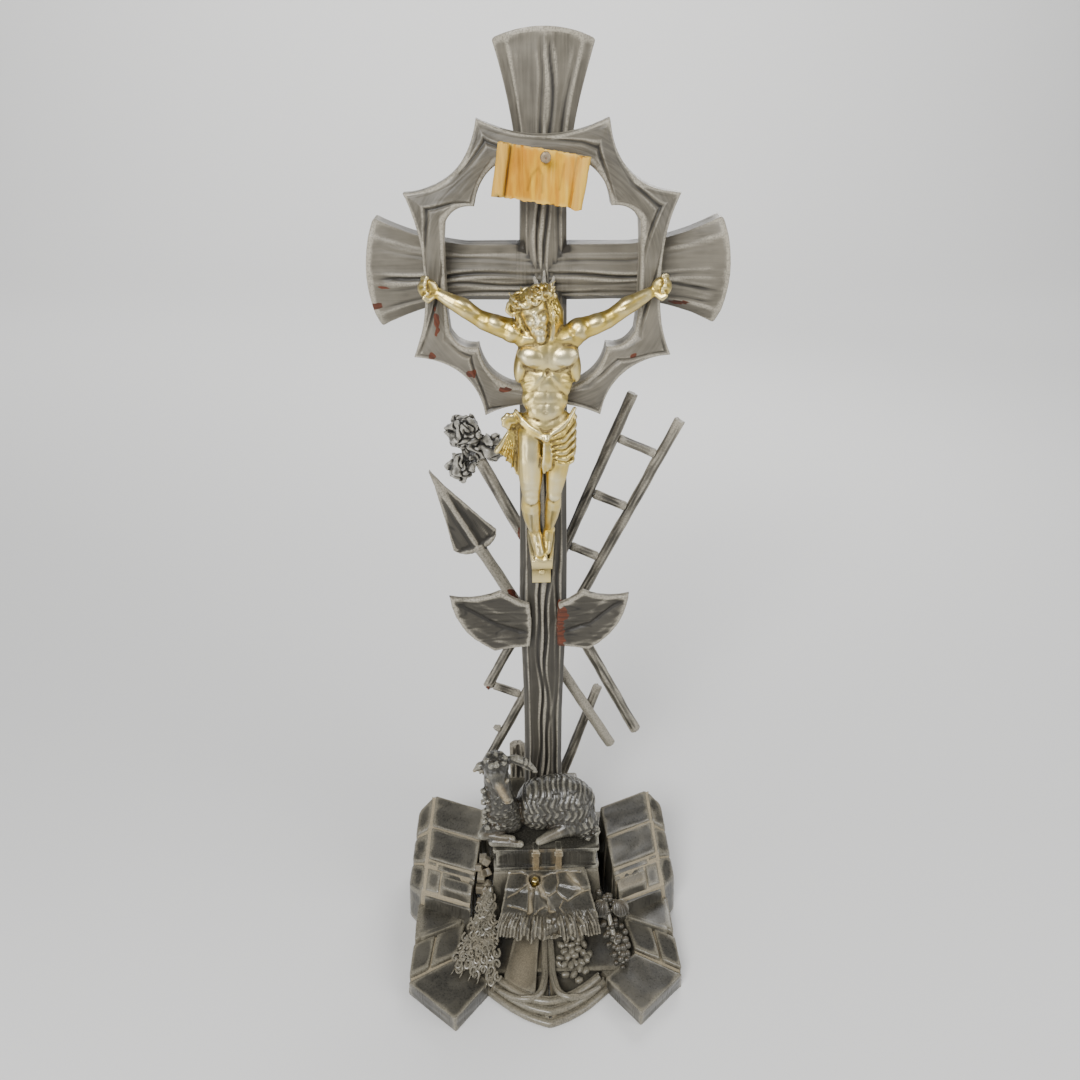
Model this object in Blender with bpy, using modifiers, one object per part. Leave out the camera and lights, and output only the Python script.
"""Standing table crucifix: ebonised carved wood on a masonry plinth, with a cast brass figure.

Metres, +Z up. The origin lies on the underside, straight below the axis of the post. The
viewer stands at -Y. y = 0 is the middle of the cross.
"""
import math

import bmesh
import bpy
from mathutils import Matrix, Vector

mm = 0.001
GAP = 0.3 * mm                     # clearance between pieces that touch

# cross
CROSS_HEIGHT = 484 * mm            # top of the post above the underside
CROSSING_HEIGHT = 386 * mm         # axis of the side arms
POST_DEPTH = 22 * mm
POST_FRONT = -12 * mm              # y of the front ridge
FOOT_HALF_WIDTH = 12.5 * mm
POST_HALF_WIDTH = 13.4 * mm        # at its widest, level with the blades
NECK_HALF_WIDTH = 10.5 * mm        # below the flare of the top
ARM_HALF_HEIGHT = 12.5 * mm        # of the side arms, before their flare
TOP_FLARE_LENGTH = 58 * mm
TOP_FLARE_HALF_WIDTH = 21.7 * mm
SIDE_FLARE_LENGTH = 41 * mm
SIDE_FLARE_HALF_WIDTH = 24.5 * mm
ARM_REACH_LEFT = 80 * mm
ARM_REACH_RIGHT = 85 * mm
END_DOME = 4.5 * mm                # bulge of each flared end
GROOVE_DEPTH = 1.5 * mm

# thorn ring
RING_THICKNESS = 12 * mm
RING_CHAMFER = 2 * mm
RING_HALF_WIDTH = 52.5 * mm        # outer edge on the side arms
RING_HALF_HEIGHT = 58 * mm         # outer edge on the post
RING_BAND = 9.5 * mm               # width of the band where it crosses the arms
THORN_TALL = 6.5 * mm              # how far the upper and lower thorns stand out
THORN_WIDE = 6.8 * mm              # how far the side thorns stand out
INNER_THORN = 9.5 * mm             # how far the inner thorns stand in
RING_SHIFT = (-0.8 * mm, 0.7 * mm)  # of its centre from the crossing, in x and z

# scroll
SCROLL_WIDTH = 39 * mm
SCROLL_HEIGHT = 21 * mm
SCROLL_SHEET = 2.2 * mm
SCROLL_WAVE = 1.6 * mm
SCROLL_ROLL = 2.9 * mm             # radius of the rolled ends
SCROLL_TILT = math.radians(9)
SCROLL_DROP = 15 * mm              # middle of the scroll below the ring's top edge
NAIL_RADIUS = 2.3 * mm
NAIL_HEAD = 2.0 * mm

# corpus: pose and carving are shares of its height
CORPUS_HEIGHT = 140 * mm
CORPUS_TRIANGLES = 2080

# footrest
REST_HALF_WIDTH = 7.2 * mm
REST_FRONT_HALF_WIDTH = 5.2 * mm
REST_REACH = 15 * mm
REST_RISE = 9 * mm                 # back of the tray above the toes
REST_FALL = 10.5 * mm              # front of the tray below its back
REST_PLATE = 2.2 * mm
REST_RIM = 1.3 * mm
REST_WALL = 2.8 * mm
LUG_HALF_WIDTH = 4.9 * mm
LUG_HEIGHT = 22 * mm
LUG_THICKNESS = 4.5 * mm

# blades
BLADE_THICKNESS = 4.5 * mm
BLADE_LIFT = 196 * mm              # height of the middle of the blades
BLADE_REACH = 51 * mm              # horn of the left blade from the axis
BLADE_REACH_RIGHT = 46 * mm
BLADE_HALF_HEIGHT = 20 * mm
BLADE_LAP = 5.5 * mm               # how far each blade laps over the post

# spear, reed, sponge
STICK_RADIUS = 3.5 * mm
SPEAR_HEAD_LENGTH = 56 * mm
SPEAR_HEAD_HALF_WIDTH = 14 * mm
SPEAR_HEAD_THICKNESS = 4 * mm
SPEAR_SOCKET = (-34.4 * mm, 229.1 * mm)
SPEAR_END = (43.7 * mm, 83.6 * mm)
REED_TOP = (-34.1 * mm, 286 * mm)
REED_END = (59.3 * mm, 94.9 * mm)
SPONGE_RADIUS = 10 * mm

# ladder
RAIL_RADIUS = 3.1 * mm
RUNG_RADIUS = 2.7 * mm
RUNG_PITCH = 33 * mm
TOP_RUNG_DROP = 24 * mm            # first rung below the top of the left rail
LEFT_RAIL_TOP = (47.7 * mm, 317.4 * mm)
LEFT_RAIL_BEND = (11 * mm, 220 * mm)
LEFT_RAIL_END = (-33.7 * mm, 126.5 * mm)
RIGHT_RAIL_TOP = (73.7 * mm, 301.9 * mm)
RIGHT_RAIL_END = (-40 * mm, 56 * mm)
STUMP_HEIGHT = 90.5 * mm

# strut and stub
STRUT_TOP = (34.9 * mm, 124.6 * mm)
STRUT_END_X = 13.5 * mm
STRUT_HALF_WIDTH = 3.4 * mm
STUB_X = -15.6 * mm
STUB_HALF_WIDTH = 5.5 * mm
STUB_HEIGHT = 31 * mm
STUB_THICKNESS = 5 * mm

# plinth
HUB_TOP = 50 * mm                  # the cross, book and strut stand here
HUB_HALF_WIDTH = 23 * mm
HUB_FRONT = -57 * mm
HUB_BACK = 27 * mm
BASE_PLATE = 8 * mm
PLINTH_HALF_WIDTH = 80 * mm
PLINTH_RIGHT_WIDTH = 76.5 * mm     # the right wings are carved a little shorter
PLINTH_FRONT = -123 * mm
SLAB_LOW = 12 * mm
SLAB_MIDDLE = 16 * mm
SLAB_HIGH = 19 * mm
STACK_FRONT_HEIGHT = 30 * mm
STACK_BACK_HEIGHT = 58 * mm
STACK_BATTER = 3 * mm              # how far the front of a stack leans out at its foot
END_STONES = (9.6 * mm, 8 * mm)    # how far the end stones stand out, and drop
COURSES = 3
MORTAR = 1.8 * mm                  # width of a joint between courses
MORTAR_DEPTH = 1.4 * mm
STONE_LIFT = 5 * mm                # of the narrow raised stone on the lowest course
RIM_WIDTH = 11 * mm
RIM_HEIGHT = 11 * mm
RIM_HALF_SPAN = 36 * mm
STEM_RADIUS = 2.6 * mm

# rock
ROCK_BACK_HALF_WIDTH = 22 * mm
ROCK_FRONT_HALF_WIDTH = 31 * mm
ROCK_REACH = 35 * mm               # from its back to the fringe
ROCK_DROP = 19 * mm                # back edge to the bottom of the fringe
FRINGE_TEETH = 9
FRINGE_DEPTH = 5 * mm
ROCK_TRUNK_REACH = 14 * mm
PIN_RADIUS = 2.2 * mm
PIN_HOLE_GAP = 1.3 * mm
PIN_LENGTH = 5 * mm
PIN_HOLE_DEPTH = 4 * mm

# book and lamb: the lamb's pose is shares of its length
BOOK_HALF_WIDTH = 31 * mm
BOOK_THICKNESS = 17.5 * mm
BOOK_DEPTH = 38 * mm
STRAP_WIDTH = 3.2 * mm
STRAP_LIFT = 1 * mm
STRAP_SHARES = (-0.1, 0.115)        # places of the straps along the book's width
LAMB_LENGTH = 62 * mm
LAMB_TRIANGLES = 1100

# sprays
WHEAT_LENGTH = 52 * mm
WHEAT_TRIANGLES = 500
GRAPE_RADIUS = 3.7 * mm
GRAPE_TRIANGLES = 500
SPONGE_TRIANGLES = 400

POST_MIDDLE = POST_FRONT + POST_DEPTH / 2
POST_BACK = POST_FRONT + POST_DEPTH
RING_MIDDLE = POST_FRONT - GAP - RING_THICKNESS / 2
RING_FRONT = POST_FRONT - GAP - RING_THICKNESS
STICK_Y = POST_BACK + GAP + STICK_RADIUS
LADDER_Y = STICK_Y + STICK_RADIUS + GAP + max(RAIL_RADIUS, STRUT_HALF_WIDTH)
BOOK_FRONT = HUB_FRONT
BOOK_TOP = HUB_TOP + GAP + BOOK_THICKNESS
ROCK_BACK = HUB_FRONT - GAP

for old in list(bpy.data.objects):
    bpy.data.objects.remove(old, do_unlink=True)
part = bpy.data.collections.new("crucifix")
bpy.context.scene.collection.children.link(part)
cutters = bpy.data.collections.new("cutters")
bpy.context.scene.collection.children.link(cutters)


def make_material(name, colour, roughness, metallic=0.0):
    material = bpy.data.materials.new(name)
    material.use_nodes = True
    shader = material.node_tree.nodes["Principled BSDF"]
    shader.inputs["Base Color"].default_value = (*colour, 1.0)
    shader.inputs["Roughness"].default_value = roughness
    shader.inputs["Metallic"].default_value = metallic
    return material


def add_object(name, bm, material=None):
    """Turn a bmesh into a named object; without a material it is a cutter."""
    bmesh.ops.recalc_face_normals(bm, faces=bm.faces)
    mesh = bpy.data.meshes.new(name)
    bm.to_mesh(mesh)
    bm.free()
    thing = bpy.data.objects.new(name, mesh)
    if material:
        mesh.materials.append(material)
        mesh.shade_smooth()
        mesh.set_sharp_from_angle(angle=math.radians(35))
        part.objects.link(thing)
    else:
        thing.hide_render = True
        thing.display_type = "WIRE"
        cutters.objects.link(thing)
    return thing


def apply_modifiers(thing):
    """Keep what the modifiers make, as the object's own mesh."""
    graph = bpy.context.evaluated_depsgraph_get()
    mesh = bpy.data.meshes.new_from_object(thing.evaluated_get(graph), depsgraph=graph)
    thing.modifiers.clear()
    thing.data = mesh


def boolean(thing, other, operation):
    modifier = thing.modifiers.new(operation.lower(), "BOOLEAN")
    modifier.operation = operation
    modifier.solver = "EXACT"
    modifier.object = other
    apply_modifiers(thing)
    bpy.data.objects.remove(other, do_unlink=True)


def curve_to_mesh(name, curve, matrix=Matrix()):
    """A curve's solid as a welded bmesh."""
    holder = bpy.data.objects.new(name, curve)
    cutters.objects.link(holder)
    graph = bpy.context.evaluated_depsgraph_get()
    mesh = bpy.data.meshes.new_from_object(holder.evaluated_get(graph), depsgraph=graph)
    bm = bmesh.new()
    bm.from_mesh(mesh)
    bmesh.ops.transform(bm, matrix=matrix, verts=bm.verts)
    bmesh.ops.remove_doubles(bm, verts=bm.verts, dist=0.02 * mm)
    bpy.data.objects.remove(holder, do_unlink=True)
    return bm


def flat_outline(name, loops, thickness, chamfer=0.0):
    """A flat plate from outlines in x and z, its middle at y = 0; later loops are holes."""
    curve = bpy.data.curves.new(name, "CURVE")
    curve.dimensions = "2D"
    curve.fill_mode = "BOTH"
    curve.extrude = thickness / 2 - chamfer
    curve.bevel_depth = chamfer
    curve.bevel_resolution = 0
    curve.offset = -chamfer
    for loop in loops:
        spline = curve.splines.new("POLY")
        spline.points.add(len(loop) - 1)
        for point, (x, z) in zip(spline.points, loop):
            point.co = (x, z, 0, 1)
        spline.use_cyclic_u = True
    return curve_to_mesh(name, curve, Matrix.Rotation(math.radians(90), 4, "X"))


def arc(start, end, sagitta, steps):
    """Points from start up to, not including, end; a positive sagitta bulges to the left."""
    start, end = Vector(start), Vector(end)
    along = end - start
    left = Vector((-along.y, along.x)).normalized()
    points = []
    for step in range(steps):
        share = step / steps
        points.append(start + along * share + left * sagitta * 4 * share * (1 - share))
    return [(point.x, point.y) for point in points]


def add_block(bm, floor, tops):
    """A cube whose four plan corners stand from the floor's points up to the tops' points."""
    made = bmesh.ops.create_cube(bm, size=2)
    corner_of = {(-1, -1): 0, (1, -1): 1, (1, 1): 2, (-1, 1): 3}
    for vert in made["verts"]:
        number = corner_of[(round(vert.co.x), round(vert.co.y))]
        vert.co = Vector(tops[number] if vert.co.z > 0 else floor[number])


def add_ball(bm, centre, radii, turn=Matrix(), segments=12):
    made = bmesh.ops.create_uvsphere(bm, u_segments=segments, v_segments=segments * 2 // 3, radius=1)
    size = Matrix.Diagonal((*radii, 1))
    bmesh.ops.transform(bm, matrix=Matrix.Translation(centre) @ turn @ size, verts=made["verts"])


def add_limb(bm, start, end, start_radius, end_radius, segments=12):
    """A cone with a ball on each end."""
    start, end = Vector(start), Vector(end)
    along = end - start
    place = Matrix.Translation((start + end) / 2) @ along.to_track_quat("Z", "Y").to_matrix().to_4x4()
    bmesh.ops.create_cone(bm, cap_ends=True, segments=segments, radius1=start_radius,
                          radius2=end_radius, depth=along.length, matrix=place)
    add_ball(bm, start, (start_radius,) * 3, segments=segments)
    add_ball(bm, end, (end_radius,) * 3, segments=segments)


def add_chain(bm, points, radii, segments=12):
    for number in range(len(points) - 1):
        add_limb(bm, points[number], points[number + 1], radii[number], radii[number + 1], segments)


def melt(thing, voxel, smoothing, triangles):
    """Join overlapping forms into one skin and thin it to about the given triangles."""
    remesh = thing.modifiers.new("skin", "REMESH")
    remesh.mode = "VOXEL"
    remesh.voxel_size = voxel
    smooth = thing.modifiers.new("smooth", "SMOOTH")
    smooth.factor = 0.5
    smooth.iterations = smoothing
    triangulate = thing.modifiers.new("triangles", "TRIANGULATE")
    triangulate.quad_method = "SHORTEST_DIAGONAL"
    apply_modifiers(thing)
    thin = thing.modifiers.new("thin", "DECIMATE")
    thin.ratio = min(1.0, triangles / len(thing.data.polygons))
    apply_modifiers(thing)


def dissolve_flats(thing):
    """Merge the coplanar faces that unions leave."""
    bm = bmesh.new()
    bm.from_mesh(thing.data)
    bmesh.ops.dissolve_limit(bm, angle_limit=math.radians(0.5), verts=bm.verts, edges=bm.edges)
    bmesh.ops.triangulate(bm, faces=bm.faces[:])
    bm.to_mesh(thing.data)
    bm.free()


def clear_of(thing, neighbour, clearance, hull=False):
    """Cut a neighbour's swollen copy, or its swollen hull, out of a carving that lies against it."""
    copy = bpy.data.objects.new("clearance", neighbour.data.copy())
    cutters.objects.link(copy)
    if hull:
        bm = bmesh.new()
        bm.from_mesh(copy.data)
        made = bmesh.ops.convex_hull(bm, input=bm.verts)
        inside = [vert for vert in made["geom_interior"] if isinstance(vert, bmesh.types.BMVert)]
        bmesh.ops.delete(bm, geom=inside, context="VERTS")
        bmesh.ops.recalc_face_normals(bm, faces=bm.faces)
        bm.to_mesh(copy.data)
        bm.free()
    swell = copy.modifiers.new("swell", "DISPLACE")
    swell.mid_level = 0
    swell.strength = clearance
    apply_modifiers(copy)
    boolean(thing, copy, "DIFFERENCE")


def keep_largest(thing):
    """Drop loose crumbs that a cut leaves beside the main body."""
    bm = bmesh.new()
    bm.from_mesh(thing.data)
    left = set(bm.verts)
    bodies = []
    while left:
        stack = [left.pop()]
        body = list(stack)
        while stack:
            for edge in stack.pop().link_edges:
                for vert in edge.verts:
                    if vert in left:
                        left.remove(vert)
                        stack.append(vert)
                        body.append(vert)
        bodies.append(body)
    bodies.sort(key=len)
    for body in bodies[:-1]:
        bmesh.ops.delete(bm, geom=body, context="VERTS")
    bm.to_mesh(thing.data)
    bm.free()


ebony = make_material("ebonised_wood", (0.020, 0.019, 0.018), 0.42)
brass = make_material("brass", (0.62, 0.50, 0.26), 0.34, 1.0)
honey = make_material("scroll_wood", (0.42, 0.19, 0.05), 0.5)
iron = make_material("nail_iron", (0.10, 0.085, 0.07), 0.55, 0.8)
grey = make_material("grey_tuft", (0.09, 0.09, 0.09), 0.5)


# cross

SECTION = ((-1, 0.5), (-0.72, 0.84), (-0.5, 0.92), (-0.36, 0.92), (-0.22, 0.95), (0, 1),
           (0.26, 0.95), (0.4, 0.92), (0.54, 0.92), (0.74, 0.84), (1, 0.5), (1, -0.5),
           (0.7, -1), (-0.7, -1), (-1, -0.5))
GROOVES = (3, 7)                   # places in the section that sink to make the two grooves


def post_width(height):
    """Half width of the post at a height, before the flare."""
    blade = BLADE_LIFT
    neck = CROSS_HEIGHT - END_DOME - TOP_FLARE_LENGTH
    if height < blade:
        share = (height - HUB_TOP) / (blade - HUB_TOP)
        waist = 2 * share * (1 - share) * 3.2 * mm
        return FOOT_HALF_WIDTH + (POST_HALF_WIDTH - FOOT_HALF_WIDTH) * share - waist
    share = min(1, (height - blade) / (neck - blade))
    return POST_HALF_WIDTH + (NECK_HALF_WIDTH - POST_HALF_WIDTH) * share


def flare(share, narrow, wide):
    return narrow + (wide - narrow) * (0.35 * share + 0.65 * share ** 2.2)


def member(name, stations, place):
    """Loft the grooved section through (distance, half width, bulge) stations."""
    bm = bmesh.new()
    rings = []
    for number, (distance, half_width, bulge) in enumerate(stations):
        ring = []
        for place_in_section, (across, depth) in enumerate(SECTION):
            sway = 0
            if place_in_section in GROOVES:
                sway = 0.07 * math.sin(number * 1.9 + place_in_section)
            y = POST_MIDDLE - depth * POST_DEPTH / 2
            if place_in_section in GROOVES:
                y += GROOVE_DEPTH
            out = distance + bulge * (1 - across ** 2)
            ring.append(bm.verts.new(place @ Vector(((across + sway) * half_width, y, out))))
        rings.append(ring)
    for lower, upper in zip(rings, rings[1:]):
        for number in range(len(SECTION)):
            after = (number + 1) % len(SECTION)
            bm.faces.new((lower[number], lower[after], upper[after], upper[number]))
    bm.faces.new(list(reversed(rings[0])))
    bm.faces.new(rings[-1])
    bmesh.ops.triangulate(bm, faces=[face for face in bm.faces if len(face.verts) > 4])
    return add_object(name, bm, ebony)


foot = HUB_TOP + GAP
neck = CROSS_HEIGHT - END_DOME - TOP_FLARE_LENGTH
post_stations = []
for share in (0, 0.09, 0.2, 0.31, 0.42, 0.56, 0.7, 0.85, 1):
    height = foot + (neck - foot) * share
    post_stations.append((height, post_width(height), 0))
for share in (0.4, 0.75, 1):
    post_stations.append((neck + TOP_FLARE_LENGTH * share,
                          flare(share, NECK_HALF_WIDTH, TOP_FLARE_HALF_WIDTH), END_DOME * share ** 4))
beam_stations = []
left_neck = ARM_REACH_LEFT - END_DOME - SIDE_FLARE_LENGTH
right_neck = ARM_REACH_RIGHT - END_DOME - SIDE_FLARE_LENGTH
for share in (1, 0.72, 0.4):
    beam_stations.append((-left_neck - SIDE_FLARE_LENGTH * share,
                          flare(share, ARM_HALF_HEIGHT, SIDE_FLARE_HALF_WIDTH), -END_DOME * share ** 4))
for share in (-1, -0.45, 0.1, 0.55):
    beam_stations.append((share * (left_neck if share < 0 else right_neck), ARM_HALF_HEIGHT, 0))
for share in (0, 0.4, 0.72, 1):
    beam_stations.append((right_neck + SIDE_FLARE_LENGTH * share,
                          flare(share, ARM_HALF_HEIGHT, SIDE_FLARE_HALF_WIDTH), END_DOME * share ** 4))
cross = member("cross", post_stations, Matrix())
lay_down = Matrix.Translation((0, 0, CROSSING_HEIGHT)) @ Matrix.Rotation(math.radians(90), 4, "Y")
beam = member("beam", beam_stations, lay_down)
boolean(cross, beam, "UNION")


# thorn ring

def ring_outer():
    side, top = RING_HALF_WIDTH, RING_HALF_HEIGHT
    tall = (side * 0.524, top + THORN_TALL)
    wide = (side + THORN_WIDE, top * 0.612)
    quarter = arc((side, 0), wide, 2.2 * mm, 4)
    quarter += arc(wide, tall, 8.6 * mm, 7)
    quarter += arc(tall, (0, top), 1.6 * mm, 4)
    return quarter


def ring_inner():
    side, top = RING_HALF_WIDTH - RING_BAND, RING_HALF_HEIGHT - RING_BAND + 1.5 * mm
    thorn = (side - INNER_THORN * 1.45, top - INNER_THORN * 2.05)
    shoulder = (side * 0.33, top - 0.5 * mm)
    quarter = arc((side, 0), (side - 1 * mm, top * 0.48), -0.4 * mm, 3)
    quarter += arc((side - 1 * mm, top * 0.48), thorn, -2.6 * mm, 4)
    quarter += arc(thorn, shoulder, -3.6 * mm, 5)
    quarter += arc(shoulder, (0, top), -0.3 * mm, 2)
    return quarter


def four_quarters(quarter):
    """Mirror a quarter outline, whose last point stops short of the top axis."""
    top = quarter[-1]
    half = quarter + [(-x, z) for x, z in reversed(quarter) if (x, z) != top or x > 0]
    return half + [(-x, -z) for x, z in half if abs(z) > 1e-9]


ring_centre = Vector((RING_SHIFT[0], RING_MIDDLE, CROSSING_HEIGHT + RING_SHIFT[1]))
bm = flat_outline("ring", [four_quarters(ring_outer()), four_quarters(ring_inner())],
                  RING_THICKNESS, RING_CHAMFER)
bmesh.ops.translate(bm, vec=ring_centre, verts=bm.verts)
thorn_ring = add_object("thorn_ring", bm, ebony)


# scroll

def scroll_outline():
    """Section across the sheet: a wave between two rolled ends."""
    half = SCROLL_WIDTH / 2 - SCROLL_ROLL
    steps = 14
    near, far = [], []
    for step in range(steps + 1):
        x = half * (2 * step / steps - 1)
        y = SCROLL_WAVE * math.cos(x / half * math.radians(500))
        near.append((x, y - SCROLL_SHEET / 2))
        far.append((x, y + SCROLL_SHEET / 2))

    def roll(side, centre_y):
        turn = [math.radians(-55 + 22 * step) for step in range(6)]
        points = [(side * (half + SCROLL_ROLL * math.cos(angle)), centre_y + SCROLL_ROLL * math.sin(angle))
                  for angle in turn]
        return points
    right = roll(1, near[-1][1] + SCROLL_SHEET / 2)
    left = roll(-1, near[0][1] + SCROLL_SHEET / 2)
    return near[1:-1] + right + list(reversed(far[1:-1])) + list(reversed(left))


scroll_centre = Vector((-2.0 * mm, RING_FRONT - GAP - SCROLL_ROLL - SCROLL_WAVE,
                        ring_centre.z + RING_HALF_HEIGHT - SCROLL_DROP))
bm = flat_outline("scroll", [scroll_outline()], SCROLL_HEIGHT)
stand = Matrix.Translation(scroll_centre) @ Matrix.Rotation(SCROLL_TILT, 4, "Y")
bmesh.ops.transform(bm, matrix=stand @ Matrix.Rotation(math.radians(-90), 4, "X"), verts=bm.verts)
scroll = add_object("scroll", bm, honey)

bm = bmesh.new()
nail_place = scroll_centre + Vector((1.9 * mm, 0, SCROLL_HEIGHT / 2 - 2.6 * mm))
nail_back = scroll_centre.y - SCROLL_WAVE - SCROLL_SHEET / 2 - GAP
nail_place.y = nail_back - NAIL_HEAD / 2
bmesh.ops.create_cone(bm, cap_ends=True, segments=8, radius1=NAIL_RADIUS, radius2=NAIL_RADIUS * 0.7,
                      depth=NAIL_HEAD,
                      matrix=Matrix.Translation(nail_place) @ Matrix.Rotation(math.radians(90), 4, "X"))
scroll_nail = add_object("scroll_nail", bm, iron)


# corpus

corpus_unit = CORPUS_HEIGHT / 140              # the pose below is that of a 140 mm figure
corpus_foot = Vector((0, RING_FRONT, CROSSING_HEIGHT - 142.5 * corpus_unit))


def pose(x, y, z):
    """A point of the figure: x, height above the toes and distance before the ring's face."""
    return corpus_foot + Vector((x, -y, z)) * corpus_unit


def figure_limb(bm, points, radii, segments=12):
    add_chain(bm, [pose(*point) for point in points], [radius * corpus_unit for radius in radii], segments)


def figure_ball(bm, centre, radii, turn=0, nod=0):
    spin = Matrix.Rotation(math.radians(turn), 4, "Y") @ Matrix.Rotation(math.radians(nod), 4, "X")
    add_ball(bm, pose(*centre), [radius * corpus_unit for radius in radii], spin)


def figure_arms(bm):
    for side, shift in ((-1, -1.2), (1, 1.6)):
        shoulder = (side * 12.2 + shift, 4.8, 121.8)
        points = [shoulder, (side * 20 + shift, 4.6, 124.4), (side * 29.5 + shift * 0.5, 4.6, 128.2),
                  (side * 36, 4.6, 132.6), (side * 46, 3.4, 138.0)]
        figure_limb(bm, points, [5.6, 4.8, 4.0, 4.1, 2.5])
        figure_ball(bm, (side * 51.2, 3.4, 140.8), (4.8, 2.4, 4.6), side * -25)
        for finger in range(4):
            spread = finger - 1.5
            knuckle = (side * (53.6 - 0.6 * abs(spread)), 4.4, 141.2 + spread * 2.4)
            tip = (side * (52.4 - abs(spread)), 6.0, 142.2 + spread * 2.2)
            figure_limb(bm, [(side * 50, 4.4, 140 + spread * 1.8), knuckle, tip], [1.3, 1.4, 1.0], 8)
        figure_limb(bm, [(side * 48.5, 4.2, 138), (side * 51.5, 6.2, 136.4)], [1.4, 1.1], 8)


def figure_torso(bm):
    figure_limb(bm, [(-9.6, 5.4, 119.5), (1.4, 5.8, 118.5), (12.6, 5.4, 119.5)], [5.2, 5.8, 5.2])
    figure_ball(bm, (1.2, 6.8, 111), (14.4, 6.4, 12.5))
    figure_ball(bm, (-5.2, 9.8, 112.5), (7.0, 3.8, 5.0), 12)
    figure_ball(bm, (7.6, 9.8, 112.5), (7.0, 3.8, 5.0), -12)
    figure_ball(bm, (0.6, 6.8, 99.5), (12.2, 5.8, 13))
    figure_ball(bm, (-0.2, 7.4, 90), (11.0, 5.6, 9))
    figure_ball(bm, (-0.2, 9.2, 85), (8.8, 4.6, 7))
    for side in (-1, 1):
        figure_limb(bm, [(0.8 + side * 2.2, 12.0, 106), (0.8 + side * 8, 10.6, 98.5)], [1.6, 1.4], 8)
        for rib in range(3):
            figure_limb(bm, [(0.8 + side * 9.2, 9.4, 106 - 3.6 * rib), (0.8 + side * 12, 6.2, 107.5 - 3.6 * rib)],
                        [1.4, 1.2], 8)
    figure_ball(bm, (0.4, 7.4, 78), (13.9, 6.8, 9.4))
    figure_limb(bm, [(1.6, 5.4, 118), (-1.4, 6.8, 127)], [4.8, 4.2])


def figure_head(bm):
    figure_ball(bm, (-5.2, 8.2, 132.6), (7.0, 7.8, 9.0), -16, 12)
    figure_ball(bm, (-3.2, 11.0, 124.8), (4.6, 4.6, 6.0), -16, 20)
    figure_limb(bm, [(-4.9, 15.2, 132.6), (-4.3, 16.2, 129.4)], [0.9, 1.3], 8)
    figure_limb(bm, [(-8.0, 14.3, 134.2), (-5.0, 15.2, 133.8), (-2.0, 14.4, 133.2)], [1.0, 0.8, 1.0], 8)
    figure_limb(bm, [(-10.8, 6.6, 134), (-10.6, 6.4, 127), (-8.6, 6.6, 121)], [2.8, 2.4, 1.6])
    for lock in range(3):
        figure_limb(bm, [(0.8 + lock * 0.9, 8.6 - lock * 1.6, 135), (3.2 + lock * 0.9, 8.4 - lock * 1.6, 127),
                         (3.4 + lock * 1.2, 9.4 - lock * 1.6, 117.5)], [2.3, 2.2, 1.2], 8)
    turns = 16
    for strand in (0, 1):
        band = []
        for step in range(turns + 1):
            angle = step * 2 * math.pi / turns
            twist = 4 * angle + math.pi * strand
            radius = 8.6 + 0.7 * math.cos(twist)
            band.append((-6.0 + radius * math.cos(angle), 8 + radius * math.sin(angle),
                         138.2 + 2.6 * math.cos(angle) + 1.0 * math.sin(twist)))
        figure_limb(bm, band, [1.15] * len(band), 6)
    figure_limb(bm, [(-13.6, 9.4, 137), (-16.4, 10.6, 133.6), (-13.6, 11, 131), (-11.6, 10.6, 134)],
                [1.1, 1.3, 1.3, 1.0], 6)
    for angle in (35, 80, 140, 215, 300):
        out = math.radians(angle)
        figure_limb(bm, [(-6.0 + 8.8 * math.cos(out), 8 + 8.8 * math.sin(out), 139 + 2.6 * math.cos(out)),
                         (-6.0 + 12 * math.cos(out), 8 + 10.4 * math.sin(out), 141.6 + 2.6 * math.cos(out))],
                    [1.2, 0.6], 6)


def figure_legs(bm):
    figure_limb(bm, [(-6.8, 7.2, 74), (-7.2, 8.8, 60), (-6.9, 8.6, 44)], [7.2, 6.7, 4.8])
    figure_ball(bm, (-6.7, 10.6, 41.5), (4.0, 3.6, 4.4))
    figure_limb(bm, [(-6.9, 8.2, 42), (-7.1, 4.2, 32), (-4.9, -1.4, 17)], [4.6, 5.2, 2.9])
    figure_limb(bm, [(6.4, 7.2, 74), (6.2, 8.8, 60), (4.2, 9.0, 45)], [7.0, 6.2, 3.9])
    figure_ball(bm, (4.0, 10.6, 43), (3.2, 3.2, 3.8))
    figure_limb(bm, [(4.1, 8.6, 43), (3.7, 4.4, 33), (2.2, -3.4, 17.5)], [3.6, 4.0, 2.5])
    figure_limb(bm, [(-4.9, -1.8, 16.5), (-3.6, 0.6, 10), (-2.4, 3.6, 5.4)], [3.1, 3.2, 2.7])
    figure_limb(bm, [(2.2, -4.0, 17), (1.2, -2.2, 10.5), (0.8, 0.8, 6.2)], [2.7, 3.0, 2.3])
    for toe in range(4):
        figure_limb(bm, [(-4.4 + toe * 1.5, 3.4, 5.6), (-4.1 + toe * 1.5, 5.2, 3.4)], [1.3, 1.0], 6)


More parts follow.
